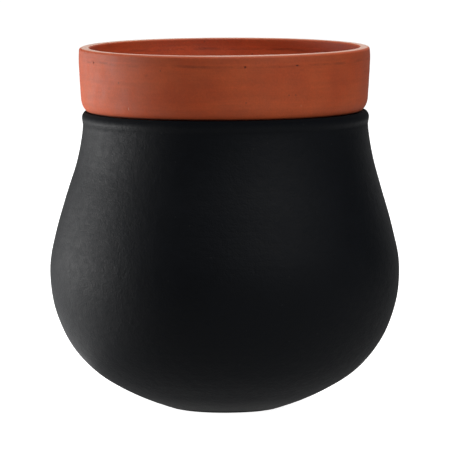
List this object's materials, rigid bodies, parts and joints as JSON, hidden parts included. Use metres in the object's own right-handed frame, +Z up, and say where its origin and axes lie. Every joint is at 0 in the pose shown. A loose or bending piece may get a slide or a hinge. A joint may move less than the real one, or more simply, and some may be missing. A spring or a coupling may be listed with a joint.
{
  "type": "two-piece plant pot",
  "caption": "Round-bottomed matt black clay vessel with a terracotta plant pot hanging in its mouth by a thick collar; the inner pot lifts out.",
  "frame": {"origin": "centre of the flat foot, in the plane that the pot stands on", "axes": "+Z up, along the axis both pieces are turned about; any direction across it serves as +X"},
  "size_m": [0.15, 0.15, 0.1555],
  "materials": {
    "black_clay": "matt black fired clay, fine grain, faint turning lines",
    "terracotta": "unglazed orange-brown earthenware, chalky, small pores and faint turning lines"
  },
  "bodies": {
    "outer_pot": {"outer_pot": "black_clay"},
    "inner_pot": {"inner_pot": "terracotta"}
  },
  "joints": [
    {"name": "inner_pot_lift", "type": "slide", "parent": "outer_pot", "child": "inner_pot", "axis": [0, 0, 1], "range_m": [0, 0.1]}
  ]
}
